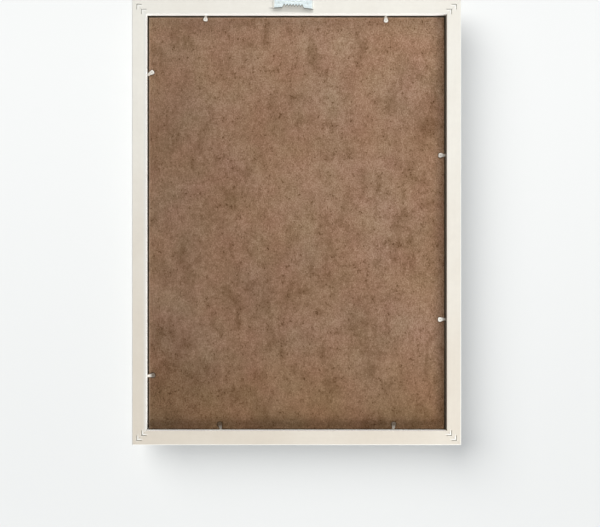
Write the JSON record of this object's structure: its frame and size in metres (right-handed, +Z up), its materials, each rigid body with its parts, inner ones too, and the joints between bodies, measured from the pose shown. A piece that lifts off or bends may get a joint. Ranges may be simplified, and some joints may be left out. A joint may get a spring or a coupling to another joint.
{
  "type": "picture frame",
  "caption": "Wall picture frame, open at the back: mitred wood rails hold glass, a blank insert and a hardboard back under bend-up steel tabs; it hangs from a sawtooth plate.",
  "frame": {"origin": "the hanging point: on the back plane of the rails, straight behind the hanger's middle notch, where the top of the wall nail bears", "axes": "+Z up the frame, +Y out of the back towards the wall, -Y out of the picture side, +X to the right as seen from the front"},
  "size_m": [0.3654, 0.0204, 0.4944],
  "materials": {
    "painted_wood": "off-white paint, satin, slightly soiled on the back",
    "glass": "clear",
    "paper": "matt, blank",
    "hardboard": "bare brown fibreboard, matt, mottled",
    "zinc_plate": "bright zinc plate",
    "nail_steel": "dull grey strip steel",
    "tab_steel": "bare tin-grey steel, satin"
  },
  "bodies": {
    "frame": {"bottom_rail": "painted_wood", "right_rail": "painted_wood", "top_rail": "painted_wood", "left_rail": "painted_wood", "glazing_sheet": "glass", "insert_sheet": "paper", "backing_board": "hardboard", "sawtooth_hanger": "zinc_plate", "corner_nails_bottom_left": "nail_steel", "corner_nails_bottom_right": "nail_steel", "corner_nails_top_right": "nail_steel", "corner_nails_top_left": "nail_steel", "tab_stem_top_left": "tab_steel", "tab_stem_top_right": "tab_steel", "tab_stem_right_upper": "tab_steel", "tab_stem_right_lower": "tab_steel", "tab_stem_bottom_right": "tab_steel", "tab_stem_bottom_left": "tab_steel", "tab_stem_left_lower": "tab_steel", "tab_stem_left_upper": "tab_steel"},
    "tab_top_left": {"tab_blade_top_left": "tab_steel"},
    "tab_top_right": {"tab_blade_top_right": "tab_steel"},
    "tab_right_upper": {"tab_blade_right_upper": "tab_steel"},
    "tab_right_lower": {"tab_blade_right_lower": "tab_steel"},
    "tab_bottom_right": {"tab_blade_bottom_right": "tab_steel"},
    "tab_bottom_left": {"tab_blade_bottom_left": "tab_steel"},
    "tab_left_lower": {"tab_blade_left_lower": "tab_steel"},
    "tab_left_upper": {"tab_blade_left_upper": "tab_steel"}
  },
  "joints": [
    {"name": "tab_bend_top_left", "type": "hinge", "parent": "frame", "child": "tab_top_left", "pos_m": [-0.10335, -0.00775, -0.01113], "axis": [1, 0, 0], "range_deg": [0, 90]},
    {"name": "tab_bend_top_right", "type": "hinge", "parent": "frame", "child": "tab_top_right", "pos_m": [0.0976, -0.00775, -0.01113], "axis": [1, 0, 0], "range_deg": [0, 90]},
    {"name": "tab_bend_right_upper", "type": "hinge", "parent": "frame", "child": "tab_right_upper", "pos_m": [0.16237, -0.00775, -0.07687], "axis": [0, 0, -1], "range_deg": [0, 90]},
    {"name": "tab_bend_right_lower", "type": "hinge", "parent": "frame", "child": "tab_right_lower", "pos_m": [0.16237, -0.00775, -0.41304], "axis": [0, 0, -1], "range_deg": [0, 90]},
    {"name": "tab_bend_bottom_right", "type": "hinge", "parent": "frame", "child": "tab_bottom_right", "pos_m": [0.08083, -0.00775, -0.47247], "axis": [-1, 0, 0], "range_deg": [0, 90]},
    {"name": "tab_bend_bottom_left", "type": "hinge", "parent": "frame", "child": "tab_bottom_left", "pos_m": [-0.11186, -0.00775, -0.47247], "axis": [-1, 0, 0], "range_deg": [0, 90]},
    {"name": "tab_bend_left_lower", "type": "hinge", "parent": "frame", "child": "tab_left_lower", "pos_m": [-0.16997, -0.00775, -0.34979], "axis": [0, 0, 1], "range_deg": [0, 90]},
    {"name": "tab_bend_left_upper", "type": "hinge", "parent": "frame", "child": "tab_left_upper", "pos_m": [-0.16997, -0.00775, -0.16687], "axis": [0, 0, 1], "range_deg": [0, 90]}
  ]
}
